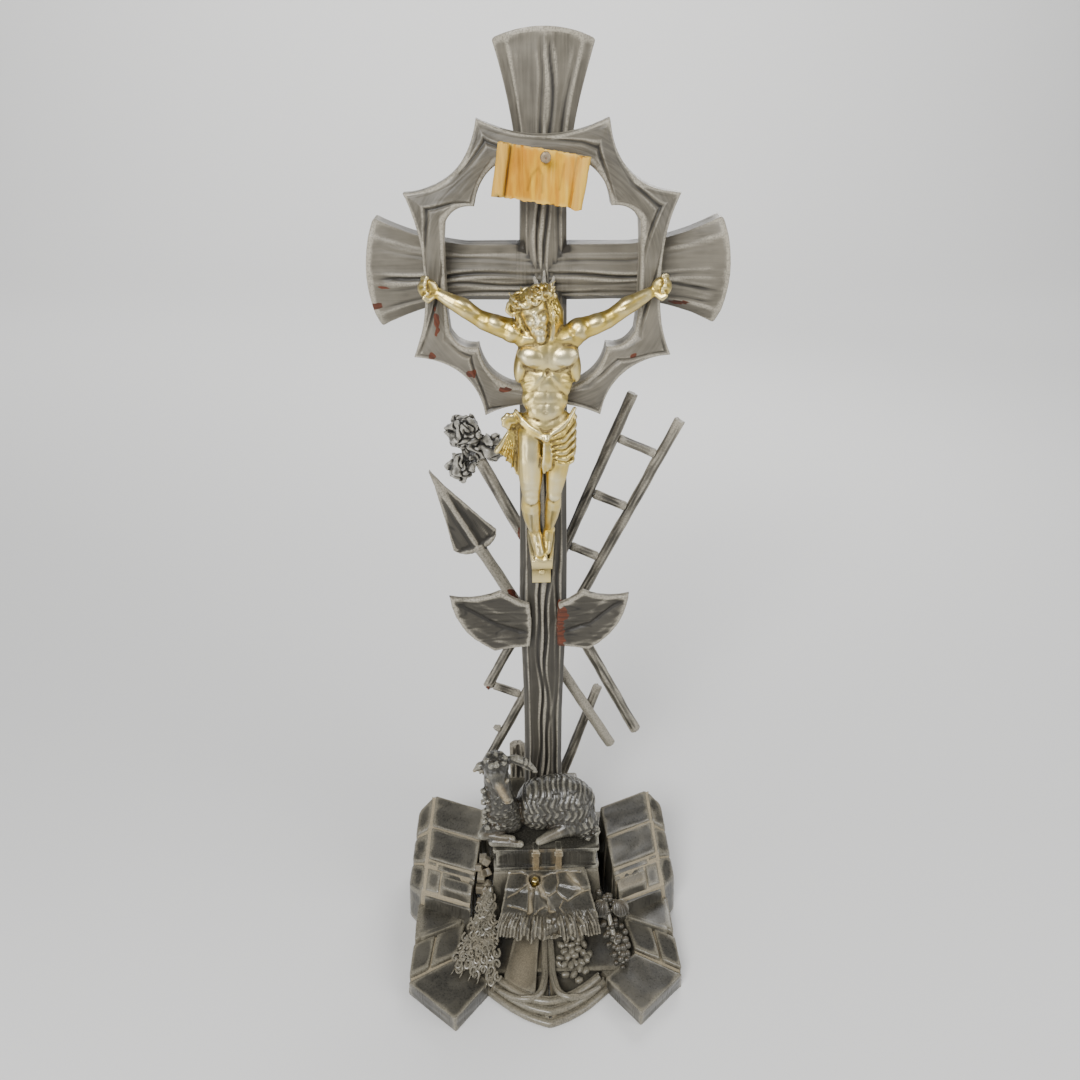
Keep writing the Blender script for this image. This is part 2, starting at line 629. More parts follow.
def figure_cloth(bm):
    for lift in (0, 1.9):
        figure_limb(bm, [(-13.6, 7.4, 82.6 + lift), (-8, 12.6, 77.6 + lift), (-2.2, 14.4, 73.4 + lift)],
                    [1.1, 1.2, 1.2], 8)
        figure_limb(bm, [(2.4, 14.4, 73.2 + lift), (8.2, 12.8, 77.4 + lift), (12.6, 8.4, 81.6 + lift)],
                    [1.2, 1.2, 1.1], 8)
    figure_ball(bm, (0.2, 14.0, 73.4), (3.4, 2.6, 2.6))
    for drop in range(4):
        figure_limb(bm, [(13.4, 5.6, 80 - 4.2 * drop), (10.6, 12.0, 73.8 - 4.6 * drop), (2.6, 14.2, 72.2 - 2 * drop)],
                    [1.9, 1.9, 1.2], 8)
    figure_limb(bm, [(0.4, 14.2, 71.5), (1.4, 14.0, 64), (0.2, 14.2, 56.5)], [2.0, 2.0, 1.4], 8)
    figure_ball(bm, (-16.6, 7.6, 80.4), (4.0, 3.8, 4.1))
    figure_limb(bm, [(-16.6, 7.6, 80), (-12, 7.0, 82)], [3.0, 2.4], 8)
    for fold in range(4):
        out = fold * 2.3
        figure_limb(bm, [(-14.6, 7.6, 76.5), (-15.0 - out * 0.7, 8.2, 66), (-14.2 - out * 1.05, 8.2, 54.5 + out * 1.7)],
                    [1.8, 2.1, 1.5], 8)


bm = bmesh.new()
for build in (figure_arms, figure_torso, figure_head, figure_legs, figure_cloth):
    build(bm)
corpus = add_object("corpus", bm, brass)
melt(corpus, 0.75 * mm, 2, CORPUS_TRIANGLES)
clear_of(corpus, thorn_ring, GAP * 2)


# footrest

rest_back = POST_FRONT - GAP
rest_x = -1.4 * mm
rest_top = corpus_foot.z + REST_RISE


def tray(narrow, floor, roof, front_cut=0.0):
    """A wedge that tapers to the front and follows the slope of the rest."""
    wide = REST_HALF_WIDTH - narrow
    slim = REST_FRONT_HALF_WIDTH - narrow
    front = rest_back - REST_REACH + front_cut
    corners = [(rest_x - slim, front), (rest_x + slim, front), (rest_x + wide, rest_back + front_cut * 0.5),
               (rest_x - wide, rest_back + front_cut * 0.5)]
    heights = (rest_top - REST_FALL, rest_top - REST_FALL, rest_top, rest_top)
    bm = bmesh.new()
    add_block(bm, [(x, y, z + floor) for (x, y), z in zip(corners, heights)],
              [(x, y, z + roof) for (x, y), z in zip(corners, heights)])
    return bm


footrest = add_object("footrest", tray(0, -REST_PLATE, REST_WALL), brass)
boolean(footrest, add_object("tray", tray(REST_RIM, 0, REST_WALL * 3, REST_RIM)), "DIFFERENCE")
bm = bmesh.new()
lug_top = rest_top - REST_FALL * 0.5
lug_place = Vector((rest_x, rest_back - LUG_THICKNESS / 2, lug_top - LUG_HEIGHT / 2))
bmesh.ops.create_cube(bm, size=1, matrix=Matrix.Translation(lug_place)
                      @ Matrix.Diagonal((2 * LUG_HALF_WIDTH, LUG_THICKNESS, LUG_HEIGHT, 1)))
boolean(footrest, add_object("lug", bm), "UNION")
clear_of(corpus, footrest, GAP * 2)
clear_of(corpus, cross, GAP * 2)
keep_largest(corpus)

bm = bmesh.new()
rest_nail_place = Vector((rest_x, rest_back - LUG_THICKNESS - GAP - NAIL_HEAD / 2,
                          lug_top - LUG_HEIGHT * 0.66))
bmesh.ops.create_cone(bm, cap_ends=True, segments=8, radius1=NAIL_RADIUS * 0.75,
                      radius2=NAIL_RADIUS * 0.5, depth=NAIL_HEAD,
                      matrix=Matrix.Translation(rest_nail_place) @ Matrix.Rotation(math.radians(90), 4, "X"))
footrest_nail = add_object("footrest_nail", bm, brass)


# tuft on the crossing, above the head

bm = bmesh.new()
tuft_foot = Vector((0, POST_FRONT - GAP - 2.2 * mm, CROSSING_HEIGHT - 6.5 * mm))
for lean in (-1, 0, 1):
    add_limb(bm, tuft_foot + Vector((lean * 2.4 * mm, 0, 0)),
             tuft_foot + Vector((lean * 4.6 * mm, 0, (9 - 2.5 * abs(lean)) * mm)), 1.9 * mm, 0.8 * mm, 8)
crossing_tuft = add_object("crossing_tuft", bm, grey)
melt(crossing_tuft, 0.6 * mm, 1, 160)
clear_of(crossing_tuft, cross, GAP)
keep_largest(crossing_tuft)


# blades

def blade(name, side, reach):
    """A horned blade; side is -1 on the left of the post."""
    inner = POST_HALF_WIDTH - BLADE_LAP
    half = BLADE_HALF_HEIGHT
    low_horn = (reach * 0.54, -half * 0.78)
    horn = (reach, half * 1.05)
    peak = (reach * 0.46, half * 1.16)
    top_inner = (inner, half * 0.72)
    outline = arc((inner, -half * 0.66), low_horn, 0.6 * mm, 3)
    outline += arc(low_horn, horn, -5.5 * mm, 7)
    outline += arc(horn, peak, 2.6 * mm, 5)
    outline += arc(peak, top_inner, 0.8 * mm, 3)
    outline += arc(top_inner, (inner, -half * 0.66), -1.0 * mm, 3)
    points = [(side * x, z) for x, z in outline]
    bm = flat_outline(name, [points if side > 0 else list(reversed(points))], BLADE_THICKNESS, 0.9 * mm)
    middle = POST_FRONT - GAP - BLADE_THICKNESS / 2
    bmesh.ops.translate(bm, vec=(0, middle, BLADE_LIFT), verts=bm.verts)
    return add_object(name, bm, ebony)


blade_left = blade("blade_left", -1, BLADE_REACH)
blade_right = blade("blade_right", 1, BLADE_REACH_RIGHT)


# spear, reed and sponge behind the post

def stick(name, start, end, y, radius, sides, material, end_radius=None):
    """A faceted stick between two points in x and z."""
    bm = bmesh.new()
    start, end = Vector((start[0], y, start[1])), Vector((end[0], y, end[1]))
    along = end - start
    place = Matrix.Translation((start + end) / 2) @ along.to_track_quat("Z", "Y").to_matrix().to_4x4()
    bmesh.ops.create_cone(bm, cap_ends=True, segments=sides, radius1=radius,
                          radius2=end_radius or radius, depth=along.length, matrix=place)
    return add_object(name, bm, material)


spear_way = (Vector(SPEAR_END) - Vector(SPEAR_SOCKET)).normalized()
spear_head_angle = math.atan2(spear_way.x, -spear_way.y)


def spear_head():
    """Leaf outline with its tip up, then turned onto the shaft's line."""
    wide, long = SPEAR_HEAD_HALF_WIDTH, SPEAR_HEAD_LENGTH
    shoulder = (wide, long * 0.12)
    right = arc((1.5 * mm, 0), shoulder, -2.5 * mm, 4) + arc(shoulder, (0, long), 0.8 * mm, 5)
    outline = right + [(0, long)] + [(-x, z) for x, z in reversed(right)]
    return flat_outline("spear_head", [outline], SPEAR_HEAD_THICKNESS, 1.2 * mm)


bm = spear_head()
socket = Vector((SPEAR_SOCKET[0], STICK_Y, SPEAR_SOCKET[1]))
bmesh.ops.transform(bm, matrix=Matrix.Translation(socket) @ Matrix.Rotation(-spear_head_angle, 4, "Y"),
                    verts=bm.verts)
spear = add_object("spear", bm, ebony)
rib_top = (SPEAR_SOCKET[0] - spear_way.x * SPEAR_HEAD_LENGTH * 0.8,
           SPEAR_SOCKET[1] - spear_way.y * SPEAR_HEAD_LENGTH * 0.8)
boolean(spear, stick("rib", rib_top, SPEAR_SOCKET, STICK_Y, STICK_RADIUS * 0.45, 6, ebony,
                     STICK_RADIUS * 0.8), "UNION")
shaft_top = Vector(SPEAR_SOCKET) - spear_way * STICK_RADIUS
boolean(spear, stick("shaft", shaft_top, SPEAR_END, STICK_Y, STICK_RADIUS, 8, ebony), "UNION")

reed = stick("reed", REED_TOP, REED_END, STICK_Y, STICK_RADIUS, 8, ebony)

bm = bmesh.new()
reed_top = Vector((REED_TOP[0], STICK_Y, REED_TOP[1]))
for x, z, size in ((-6.8, 13.8, 1.0), (-9.2, -6, 0.82), (7.4, 5, 0.78), (-1, 3, 0.7)):
    centre = reed_top + Vector((x * mm, -0.5 * mm, z * mm)) * (SPONGE_RADIUS / (10 * mm))
    add_ball(bm, centre, (SPONGE_RADIUS * size * 0.9, SPONGE_RADIUS * size * 0.75, SPONGE_RADIUS * size * 0.9))
    knobs = 11
    for knob in range(knobs):
        rise = 1 - 2 * (knob + 0.5) / knobs
        angle = knob * math.radians(137.5)
        spread = math.sqrt(1 - rise * rise)
        out = Vector((spread * math.cos(angle), 0.8 * spread * math.sin(angle), rise))
        add_ball(bm, centre + out * SPONGE_RADIUS * size * 0.78, (SPONGE_RADIUS * size * 0.33,) * 3, segments=8)
sponge = add_object("sponge", bm, ebony)
melt(sponge, 0.9 * mm, 1, SPONGE_TRIANGLES)
clear_of(sponge, reed, GAP * 2)
keep_largest(sponge)


# ladder

def along_rail(points, height):
    """x of a rail at a height."""
    for (x0, z0), (x1, z1) in zip(points, points[1:]):
        if z1 <= height:
            break
    return x0 + (x1 - x0) * (height - z0) / (z1 - z0)


left_rail = [LEFT_RAIL_TOP, LEFT_RAIL_BEND, LEFT_RAIL_END]
right_rail = [RIGHT_RAIL_TOP, RIGHT_RAIL_END]


def rail(name, points):
    curve = bpy.data.curves.new(name, "CURVE")
    curve.dimensions = "3D"
    curve.bevel_depth = RAIL_RADIUS
    curve.bevel_resolution = 1
    curve.use_fill_caps = True
    spline = curve.splines.new("POLY")
    spline.points.add(len(points) - 1)
    for point, (x, z) in zip(spline.points, points):
        point.co = (x, LADDER_Y, z, 1)
    return add_object(name, curve_to_mesh(name, curve), ebony)


ladder_rail_left = rail("ladder_rail_left", left_rail)
ladder_rail_right = rail("ladder_rail_right", right_rail)
rail_slant = (RIGHT_RAIL_TOP[0] - RIGHT_RAIL_END[0]) / (RIGHT_RAIL_TOP[1] - RIGHT_RAIL_END[1])
rail_lean = math.atan(rail_slant)
for number in range(6):
    height = LEFT_RAIL_TOP[1] - TOP_RUNG_DROP - number * RUNG_PITCH
    start = Vector((along_rail(left_rail, height), height))
    drop = (along_rail(right_rail, height) - start.x) * math.sin(rail_lean) * math.cos(rail_lean)
    end = Vector((along_rail(right_rail, height - drop), height - drop))
    way = (end - start).normalized()
    start += way * (RAIL_RADIUS + GAP * 2)
    end -= way * (RAIL_RADIUS + GAP * 2)
    stick(f"ladder_rung_{number + 1}", start, end, LADDER_Y, RUNG_RADIUS, 6, ebony)
stump_x = along_rail(right_rail, STUMP_HEIGHT)
out = Vector((-math.cos(rail_lean), math.sin(rail_lean)))
stump_root = Vector((stump_x, STUMP_HEIGHT)) + out * (RAIL_RADIUS + GAP * 2)
stick("ladder_rung_stump", stump_root, stump_root + out * 3.5 * mm, LADDER_Y, RUNG_RADIUS, 6, ebony,
      RUNG_RADIUS * 0.6)


# strut and stub behind the post

stick("strut", (STRUT_END_X, HUB_TOP + GAP + STRUT_HALF_WIDTH * 0.4), STRUT_TOP, LADDER_Y,
      STRUT_HALF_WIDTH, 6, ebony)
bm = flat_outline("stub", [arc((STUB_HALF_WIDTH, 0), (STUB_HALF_WIDTH, STUB_HEIGHT * 0.8), 0, 1)
                           + arc((STUB_HALF_WIDTH, STUB_HEIGHT * 0.8), (-STUB_HALF_WIDTH, STUB_HEIGHT * 0.9),
                                 -4.5 * mm, 6)
                           + arc((-STUB_HALF_WIDTH, STUB_HEIGHT * 0.9), (-STUB_HALF_WIDTH, 0), 0, 1)
                           + [(-STUB_HALF_WIDTH, 0)]], STUB_THICKNESS, 0.8 * mm)
bmesh.ops.translate(bm, vec=(STUB_X, LADDER_Y, HUB_TOP + GAP), verts=bm.verts)
stub = add_object("stub", bm, ebony)


# plinth

def ground(points):
    return [(x, y, 0) for x, y in points]


blocks = []


def plinth_block(floor, tops, both=True):
    """Keep each block as its own closed cutter, to be united below."""
    pairs = [(floor, tops)]
    if both:
        swap = (1, 0, 3, 2)
        share = -PLINTH_RIGHT_WIDTH / PLINTH_HALF_WIDTH
        pairs.append(([(share * floor[n][0], *floor[n][1:]) for n in swap],
                      [(share * tops[n][0], *tops[n][1:]) for n in swap]))
    for low, high in pairs:
        bm = bmesh.new()
        add_block(bm, low, high)
        blocks.append(add_object("block", bm))


half = PLINTH_HALF_WIDTH
front = PLINTH_FRONT
outer_corner = (-half, front + 23 * mm)
front_corner = (-half * 0.655, front)
inner_corner = (-half * 0.42, front + 22 * mm)
back_corner = (-half * 0.66, front + 37 * mm)


def lifted(points, heights):
    return [(x, y, z) for (x, y), z in zip(points, heights)]


low_slab = [outer_corner, front_corner, inner_corner, back_corner]
plinth_block(ground(low_slab), lifted(low_slab, (SLAB_LOW, SLAB_LOW - 0.5 * mm, SLAB_LOW, SLAB_LOW + 1 * mm)))
mid_slab = [(-half + 0.5 * mm, outer_corner[1] + MORTAR), (back_corner[0], back_corner[1] + MORTAR * 0.6),
            (-half * 0.6, front + 62 * mm), (-half + 1.5 * mm, front + 43.5 * mm)]
plinth_block(ground(mid_slab), lifted(mid_slab, (SLAB_MIDDLE - 1 * mm, SLAB_MIDDLE - 1 * mm,
                                                 SLAB_MIDDLE + 1 * mm, SLAB_MIDDLE + 1 * mm)))
high_slab = [(mid_slab[3][0] + 0.5 * mm, mid_slab[3][1] + MORTAR), (mid_slab[2][0], mid_slab[2][1] - 4 * mm),
             (-half * 0.6, front + 76 * mm), (-half + 2 * mm, front + 70 * mm)]
plinth_block(ground(high_slab), lifted(high_slab, (SLAB_HIGH,) * 4))
core = [(-half + 3 * mm, outer_corner[1]), (-half * 0.6, front + 9 * mm), (-half * 0.2, front + 52 * mm),
        (-half * 0.9, front + 80 * mm)]
plinth_block(ground(core), lifted(core, (BASE_PLATE,) * 4))

stack_tops = [(-half * 0.93, front + 70 * mm, STACK_FRONT_HEIGHT - 1 * mm),
              (-half * 0.565, front + 57.5 * mm, STACK_FRONT_HEIGHT + 1 * mm),
              (-half * 0.46, front + 105.5 * mm, STACK_BACK_HEIGHT + 2 * mm),
              (-half * 0.87, front + 121.5 * mm, STACK_BACK_HEIGHT)]
stack_feet = [(stack_tops[0][0] - STACK_BATTER, stack_tops[0][1] - STACK_BATTER, 0),
              (stack_tops[1][0] - STACK_BATTER * 0.6, stack_tops[1][1] - STACK_BATTER, 0),
              (stack_tops[2][0] + 2 * mm, stack_tops[2][1] + 2 * mm, 0),
              (stack_tops[3][0] - STACK_BATTER, stack_tops[3][1] + 2 * mm, 0)]


def between(first, last, share):
    return tuple(Vector(first).lerp(Vector(last), share))


def course(start, end, sink, lift=0.0):
    """The part of a stack between two shares of its slope, its top sunk by sink."""
    feet = [between(stack_feet[0], stack_feet[3], start), between(stack_feet[1], stack_feet[2], start),
            between(stack_feet[1], stack_feet[2], end), between(stack_feet[0], stack_feet[3], end)]
    tops = [between(stack_tops[0], stack_tops[3], start), between(stack_tops[1], stack_tops[2], start),
            between(stack_tops[1], stack_tops[2], end), between(stack_tops[0], stack_tops[3], end)]
    tops = [(x + sink * (1 if n in (0, 3) else -0.6), y, z - sink + lift)
            for n, (x, y, z) in enumerate(tops)]
    feet = [(x + sink * (1 if n in (0, 3) else -0.6), y, z) for n, (x, y, z) in enumerate(feet)]
    plinth_block(feet, tops)


course(MORTAR / (60 * mm), 1 - MORTAR / (60 * mm), MORTAR_DEPTH)
slope_length = (Vector(stack_tops[3]) - Vector(stack_tops[0])).length
joint = MORTAR / slope_length
for number in range(COURSES):
    course(number / COURSES + (joint if number else 0), (number + 1) / COURSES, 0, (number % 2) * 0.6 * mm)
raised = [between(stack_tops[1], stack_tops[0], share) for share in (0.08, 0.66)]
raised_up = [between(stack_tops[2], stack_tops[3], share) for share in (0.08, 0.66)]
stone = [raised[1], raised[0], between(raised[0], raised_up[0], 0.2), between(raised[1], raised_up[1], 0.2)]
plinth_block([(x, y + 2 * mm, z - 4 * mm) for x, y, z in stone],
             [(x, y + 3 * mm, z + STONE_LIFT) for x, y, z in stone])
end_out, end_drop = END_STONES
end_in = 2 * mm
end_tops = [(stack_tops[0][0] + end_in, stack_tops[0][1] + 0.3 * mm, stack_tops[0][2] - MORTAR_DEPTH),
            (stack_tops[3][0] + end_in, stack_tops[3][1] - 0.3 * mm, stack_tops[3][2] - MORTAR_DEPTH),
            (stack_tops[3][0] - end_out, stack_tops[3][1] - end_out * 0.5, stack_tops[3][2] - end_drop),
            (stack_tops[0][0] - end_out, stack_tops[0][1] + end_out, stack_tops[0][2] - end_drop * 0.5)]
end_feet = [(stack_feet[0][0] + end_in, stack_feet[0][1] + 0.3 * mm, 0),
            (stack_feet[3][0] + end_in, stack_feet[3][1] - 0.3 * mm, 0),
            (end_tops[2][0] - STACK_BATTER, end_tops[2][1], 0),
            (end_tops[3][0] - STACK_BATTER * 0.3, end_tops[3][1] - STACK_BATTER, 0)]
plinth_block([end_feet[n] for n in (3, 0, 1, 2)], [end_tops[n] for n in (3, 0, 1, 2)])

rear = [(-half * 0.98, front + 118 * mm), (-HUB_HALF_WIDTH + 4 * mm, front + 96 * mm),
        (-HUB_HALF_WIDTH + 4 * mm, HUB_BACK - 3 * mm), (-half * 0.86, HUB_BACK)]
plinth_block(ground(rear), lifted(rear, (16 * mm, 24 * mm, 12 * mm, 12 * mm)))
shoulder = [(-half * 0.8, front + 119 * mm), (-half * 0.44, front + 101 * mm),
            (-half * 0.4, front + 124 * mm), (-half * 0.74, front + 136 * mm)]
plinth_block(ground(shoulder), lifted(shoulder, (40 * mm, 42 * mm, 26 * mm, 26 * mm)))

hub_low = [(-HUB_HALF_WIDTH - 13 * mm, HUB_FRONT), (HUB_HALF_WIDTH + 13 * mm, HUB_FRONT),
           (HUB_HALF_WIDTH, HUB_BACK), (-HUB_HALF_WIDTH, HUB_BACK)]
hub_high = [(-HUB_HALF_WIDTH - 8 * mm, HUB_FRONT), (HUB_HALF_WIDTH + 8 * mm, HUB_FRONT),
            (HUB_HALF_WIDTH, HUB_BACK - 3 * mm), (-HUB_HALF_WIDTH, HUB_BACK - 3 * mm)]
plinth_block(ground(hub_low), lifted(hub_high, (HUB_TOP,) * 4), both=False)
bay = [(-half * 0.62, HUB_FRONT - 36 * mm), (half * 0.62, HUB_FRONT - 36 * mm),
       (half * 0.56, HUB_FRONT + 2 * mm), (-half * 0.56, HUB_FRONT + 2 * mm)]
plinth_block(ground(bay), lifted(bay, (BASE_PLATE,) * 4), both=False)
inside_stone = [(-25 * mm, front + 22 * mm), (-6 * mm, front + 19 * mm), (-5 * mm, front + 35 * mm),
                (-22 * mm, front + 36 * mm)]
plinth_block(ground(inside_stone), lifted(inside_stone, (7 * mm, 6 * mm, 10 * mm, 11 * mm)), both=False)
inside_rock = [(7 * mm, front + 21 * mm), (24 * mm, front + 24 * mm), (27 * mm, front + 36 * mm),
               (8 * mm, front + 36 * mm)]
plinth_block(ground(inside_rock), lifted(inside_rock, (7 * mm, 9 * mm, 12 * mm, 10 * mm)), both=False)


def rim_path(inset, height):
    """Pointed arch in plan from the left slab over the tip to the right slab."""
    tip = (0, front - 1 * mm + inset * 1.3)
    left = (-RIM_HALF_SPAN + inset * 0.8, front + 22 * mm + inset * 0.4)
    points = arc(left, tip, -3.2 * mm, 7) + arc(tip, (-left[0], left[1]), -3.2 * mm, 7)
    points.append((-left[0], left[1]))
    return [(x, y, height) for x, y in points]


def sweep(name, points, radius):
    """A round bar along points."""
    curve = bpy.data.curves.new(name, "CURVE")
    curve.dimensions = "3D"
    curve.bevel_depth = radius
    curve.bevel_resolution = 1
    curve.use_fill_caps = True
    spline = curve.splines.new("POLY")
    spline.points.add(len(points) - 1)
    for point, place in zip(spline.points, points):
        point.co = (*place, 1)
    return add_object(name, curve_to_mesh(name, curve))


plate = [(x, y) for x, y, z in rim_path(RIM_WIDTH * 0.1, 0)] + [(0, HUB_FRONT)]
curve = bpy.data.curves.new("rim_plate", "CURVE")
curve.dimensions = "2D"
curve.fill_mode = "BOTH"
curve.extrude = BASE_PLATE / 4
spline = curve.splines.new("POLY")
spline.points.add(len(plate) - 1)
for point, (x, y) in zip(spline.points, plate):
    point.co = (x, y, 0, 1)
spline.use_cyclic_u = True
blocks.append(add_object("rim_plate", curve_to_mesh("rim_plate", curve,
                                                   Matrix.Translation((0, 0, BASE_PLATE / 4)))))
moulding = RIM_WIDTH / 3
for number, height in enumerate((0.36, 0.62, 0.84)):
    blocks.append(sweep("moulding", rim_path(moulding * (number + 0.5), RIM_HEIGHT * height - moulding * 0.55),
                        moulding * 0.62))
for side in (-1, 1):
    stem = [(side * 1.5 * mm, HUB_FRONT - ROCK_TRUNK_REACH - 4 * mm, BASE_PLATE + 2 * mm),
            (side * 2.2 * mm, front + 32 * mm, 9 * mm), (side * 4.5 * mm, front + 19 * mm, 8 * mm),
            (side * 12 * mm, front + 13.5 * mm, 7.5 * mm)]
    blocks.append(sweep("stem", stem, STEM_RADIUS))

bm = bmesh.new()
add_block(bm, [(-20 * mm, -30 * mm, 0), (20 * mm, -30 * mm, 0), (20 * mm, 0, 0), (-20 * mm, 0, 0)],
          [(-20 * mm, -30 * mm, 4 * mm), (20 * mm, -30 * mm, 4 * mm), (20 * mm, 0, 4 * mm), (-20 * mm, 0, 4 * mm)])
plinth = add_object("plinth", bm, ebony)
for block in blocks:
    boolean(plinth, block, "UNION")
bm = bmesh.new()
reach = 4 * half
add_block(bm, [(-reach, -reach, -reach), (reach, -reach, -reach), (reach, reach, -reach), (-reach, reach, -reach)],
          [(-reach, -reach, 0), (reach, -reach, 0), (reach, reach, 0), (-reach, reach, 0)])
boolean(plinth, add_object("underside", bm), "DIFFERENCE")
keep_largest(plinth)
dissolve_flats(plinth)


# spring rock

rock_foot = BASE_PLATE + GAP


def rock_profile(column, columns):
    """The line over the rock and back under it, at one place across the fringe."""
    share = 2 * column / (columns - 1) - 1
    tooth = 1 if column % 2 else 0
    reach = ROCK_REACH * (1 - 0.16 * share * share)
    drop = ROCK_DROP - tooth * FRINGE_DEPTH + 2.2 * mm * math.sin(column * 2.3)
    ridge = 0.8 * mm * (1 if column % 2 else -1)
    top = HUB_TOP + 1 * mm
    points = [(0, top), (0.3 * reach, top - 3 * mm + ridge), (0.66 * reach, top - 8 * mm + ridge),
              (0.92 * reach, top - 0.66 * drop + ridge), (reach, top - drop), (0.93 * reach, top - drop - 0.5 * mm),
              (0.72 * reach, top - 17 * mm), (ROCK_TRUNK_REACH, top - 24 * mm), (ROCK_TRUNK_REACH, rock_foot),
              (0, rock_foot)]
    spread = []
    for out, height in points:
        forward = min(1, out / ROCK_REACH)
        half_width = ROCK_BACK_HALF_WIDTH + (ROCK_FRONT_HALF_WIDTH - ROCK_BACK_HALF_WIDTH) * forward
        curl = 3 * mm * share * share * forward
        spread.append(Vector((share * half_width, ROCK_BACK - out, height - curl if height > rock_foot else height)))
    return spread


columns = 2 * FRINGE_TEETH + 1
bm = bmesh.new()
rows = [[bm.verts.new(place) for place in rock_profile(column, columns)] for column in range(columns)]
for row, after in zip(rows, rows[1:]):
    for number in range(len(row)):
        following = (number + 1) % len(row)
        bm.faces.new((row[number], row[following], after[following], after[number]))
bm.faces.new(list(reversed(rows[0])))
bm.faces.new(rows[-1])
bmesh.ops.triangulate(bm, faces=bm.faces[:])
spring_rock = add_object("spring_rock", bm, ebony)
pin_place = Vector((-6.9 * mm, ROCK_BACK - 6 * mm, HUB_TOP - 1 * mm))
bm = bmesh.new()
bmesh.ops.create_cone(bm, cap_ends=True, segments=10, radius1=PIN_RADIUS + PIN_HOLE_GAP,
                      radius2=PIN_RADIUS + PIN_HOLE_GAP,
                      depth=PIN_HOLE_DEPTH * 2, matrix=Matrix.Translation(pin_place))
boolean(spring_rock, add_object("pin_hole", bm), "DIFFERENCE")
bm = bmesh.new()
pin_foot = pin_place.z - PIN_HOLE_DEPTH + GAP
bmesh.ops.create_cone(bm, cap_ends=True, segments=8, radius1=PIN_RADIUS, radius2=PIN_RADIUS * 0.85,
                      depth=PIN_LENGTH,
                      matrix=Matrix.Translation((pin_place.x, pin_place.y, pin_foot + PIN_LENGTH / 2)))
rock_pin = add_object("rock_pin", bm, brass)


# lamb on its book

lamb_unit = LAMB_LENGTH / 62                   # the pose below is that of a 62 mm lamb
lamb_place = Vector((0, BOOK_FRONT, BOOK_TOP))


def lamb_point(x, y, z):
    return lamb_place + Vector((x, y, z)) * lamb_unit


def lamb_ball(bm, centre, radii, turn=0, nod=0):
    spin = Matrix.Rotation(math.radians(turn), 4, "Y") @ Matrix.Rotation(math.radians(nod), 4, "X")
    add_ball(bm, lamb_point(*centre), [radius * lamb_unit for radius in radii], spin)


def lamb_limb(bm, points, radii):
    add_chain(bm, [lamb_point(*point) for point in points], [radius * lamb_unit for radius in radii], 10)


bm = bmesh.new()
lamb_ball(bm, (7, 20, 17), (23.5, 14.5, 18.5))
lamb_ball(bm, (14.5, 19, 14), (15, 15, 17))
lamb_ball(bm, (-3, 20, 16), (15, 14, 17))
lamb_limb(bm, [(-22, 17, 10), (-26, 12, 24), (-28, 12, 46)], [11, 9.4, 7.8])
lamb_ball(bm, (-28, 11, 55), (7.8, 8, 9))
lamb_limb(bm, [(-27.8, 8, 52), (-25, 4, 45.5), (-22.2, 1.6, 39.5)], [6.6, 4.8, 3.4])
lamb_limb(bm, [(-34, 11, 55), (-40.3, 11, 51)], [2.8, 1.3])
lamb_limb(bm, [(-21, 12, 58.5), (-14, 13.5, 55.5), (-5.5, 14, 47)], [2.6, 2.9, 1.3])
lamb_limb(bm, [(-26, 12, 11), (-37, 7, 6)], [6.5, 3.2])
lamb_limb(bm, [(-37, 6.6, 5.6), (-22, 4, 5)], [3.0, 2.4])
lamb_limb(bm, [(-31, 4.2, 2.6), (-16, 2.2, 2.8)], [2.8, 2.3])
lamb_limb(bm, [(21, 12, 9), (9, 6.5, 8), (-4, 3.2, 3)], [9.5, 4.4, 2.4])
lamb_ball(bm, (24, 12, 6), (9, 8, 7))
columns = 9
for column in range(columns):
    around = -0.86 + 1.72 * column / (columns - 1)
    waist = math.sqrt(1 - around * around)
    for row in range(4):
        tilt = math.radians(2 + 30 * row + 12 * (column % 2))
        x = 7 + 23.5 * around
        y = 20 - 14.6 * math.cos(tilt) * waist
        z = 17 + 18.6 * math.sin(tilt) * waist
        lamb_ball(bm, (x, y, z), (2.6, 2.6, 4.0), 20 * math.sin(2.1 * column + row), 90 - math.degrees(tilt) - 90)
for curl in range(10):
    angle = curl * math.radians(137.5)
    place = (-28 + 7.8 * math.cos(angle), 7.5 - 2.6 * abs(math.sin(angle)), 12 + 2.4 * curl)
    lamb_ball(bm, place, (2.6, 2.6, 2.6))
lamb = add_object("lamb", bm, ebony)
melt(lamb, 0.8 * mm, 1, LAMB_TRIANGLES)


def book_block(x0, x1, y0, y1, z0, z1):
    bm = bmesh.new()
    place = Matrix.Translation(((x0 + x1) / 2, (y0 + y1) / 2, (z0 + z1) / 2))
    bmesh.ops.create_cube(bm, size=1, matrix=place @ Matrix.Diagonal((x1 - x0, y1 - y0, z1 - z0, 1)))
    return add_object("book", bm)


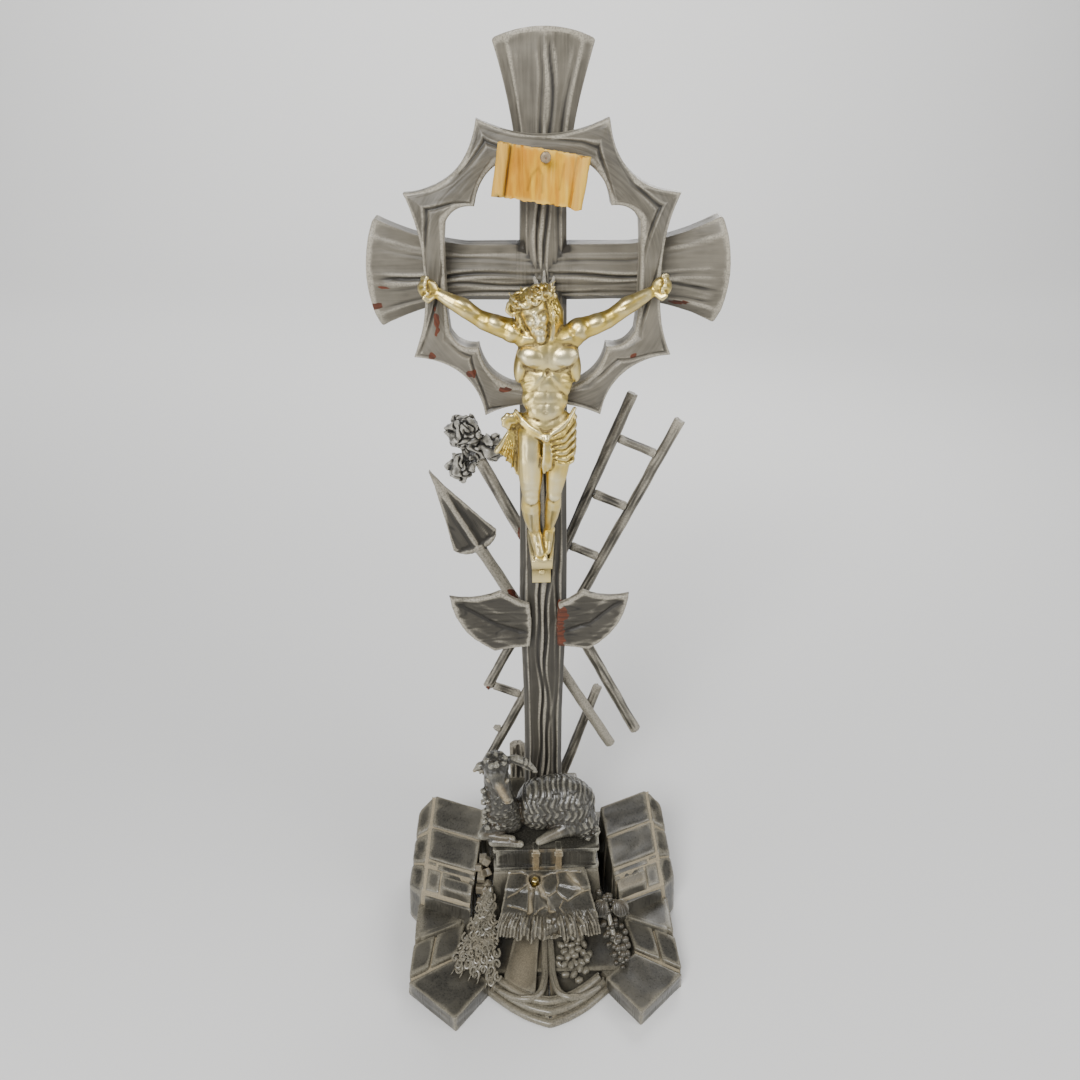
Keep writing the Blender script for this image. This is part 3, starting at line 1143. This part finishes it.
book_foot = HUB_TOP + GAP
cover = BOOK_THICKNESS * 0.16
half_book = BOOK_HALF_WIDTH
bm = bmesh.new()
sheet = [(-half_book * 4, BOOK_FRONT - half_book * 4, book_foot - half_book * 4),
         (half_book * 4, BOOK_FRONT - half_book * 4, book_foot - half_book * 4),
         (half_book * 4, BOOK_FRONT + half_book * 4, book_foot - half_book * 4),
         (-half_book * 4, BOOK_FRONT + half_book * 4, book_foot - half_book * 4)]
add_block(bm, sheet, [(x, y, BOOK_TOP - cover / 2) for x, y, z in sheet])
boolean(lamb, add_object("below_lamb", bm), "DIFFERENCE")
keep_largest(lamb)
boolean(lamb, book_block(-half_book, half_book, BOOK_FRONT, BOOK_FRONT + BOOK_DEPTH, BOOK_TOP - cover, BOOK_TOP),
        "UNION")
boolean(lamb, book_block(-half_book, half_book, BOOK_FRONT, BOOK_FRONT + BOOK_DEPTH, book_foot,
                         book_foot + cover), "UNION")
boolean(lamb, book_block(-half_book + 1.5 * mm, half_book - 1.5 * mm, BOOK_FRONT + 1.5 * mm,
                         BOOK_FRONT + BOOK_DEPTH - 1.5 * mm, book_foot + cover / 2, BOOK_TOP - cover / 2), "UNION")
for strap in STRAP_SHARES:
    middle = strap * half_book * 2
    boolean(lamb, book_block(middle - STRAP_WIDTH / 2, middle + STRAP_WIDTH / 2, BOOK_FRONT - STRAP_LIFT,
                             BOOK_FRONT + BOOK_DEPTH * 0.3, book_foot + 1 * mm, BOOK_TOP - 0.5 * mm), "UNION")


# sprays

wheat_unit = WHEAT_LENGTH / (52 * mm)
wheat_root = Vector((-33 * mm, HUB_FRONT - 3 * mm, 40 * mm))


def spray_point(root, x, y, z, unit):
    return root + Vector((x, y, z)) * mm * unit


bm = bmesh.new()
for stalk in range(6):
    fan = stalk / 5
    knee = spray_point(wheat_root, -9 + 10 * fan, -14 - 6 * fan, -15 - 2 * fan, wheat_unit)
    tip = spray_point(wheat_root, -20 + 22 * fan, -33 - 9 * fan, -25 - 2 * fan, wheat_unit)
    add_chain(bm, [wheat_root, knee, tip], [3.2 * mm, 3.0 * mm, 2.4 * mm], 8)
    for kernel in range(7):
        place = knee.lerp(tip, kernel / 6.5)
        side = 1 if kernel % 2 else -1
        add_ball(bm, place + Vector((side * 2.1 * mm, -side * 1.2 * mm, 2.2 * mm)),
                 (2.2 * mm, 2.6 * mm, 2.4 * mm), segments=8)
wheat_spray = add_object("wheat_spray", bm, ebony)
melt(wheat_spray, 0.8 * mm, 1, WHEAT_TRIANGLES)

bm = bmesh.new()
grape_root = Vector((34 * mm, HUB_FRONT - 8 * mm, 36 * mm))
grapes = 17
for grape in range(grapes):
    share = grape / (grapes - 1)
    angle = grape * math.radians(137.5)
    spread = 7.5 * math.sin(math.pi * (0.18 + 0.72 * share))
    across, lift = spread * math.cos(angle), spread * math.sin(angle)
    centre = spray_point(grape_root, 9 * share + across, -5 - 25 * share + 0.6 * lift,
                         -3 - 18 * share + 0.5 * lift, 1)
    add_ball(bm, centre, (GRAPE_RADIUS,) * 3, segments=10)
add_chain(bm, [grape_root, spray_point(grape_root, 4, -16, -12, 1), spray_point(grape_root, 9, -29, -21, 1)],
          [5 * mm, 6 * mm, 4 * mm], 8)
for side in (-1, 1):
    leaf = spray_point(grape_root, 3 + side * 7, -8, -3, 1)
    add_ball(bm, leaf, (6 * mm, 5.5 * mm, 1.8 * mm), Matrix.Rotation(math.radians(45), 4, "X"))
grape_spray = add_object("grape_spray", bm, ebony)
melt(grape_spray, 0.8 * mm, 1, GRAPE_TRIANGLES)
for spray in (wheat_spray, grape_spray):
    clear_of(spray, plinth, GAP * 2)
    clear_of(spray, spring_rock, GAP * 2, hull=True)
    keep_largest(spray)

for thing in part.objects:
    thing.data.shade_smooth()
    thing.data.set_sharp_from_angle(angle=math.radians(38))
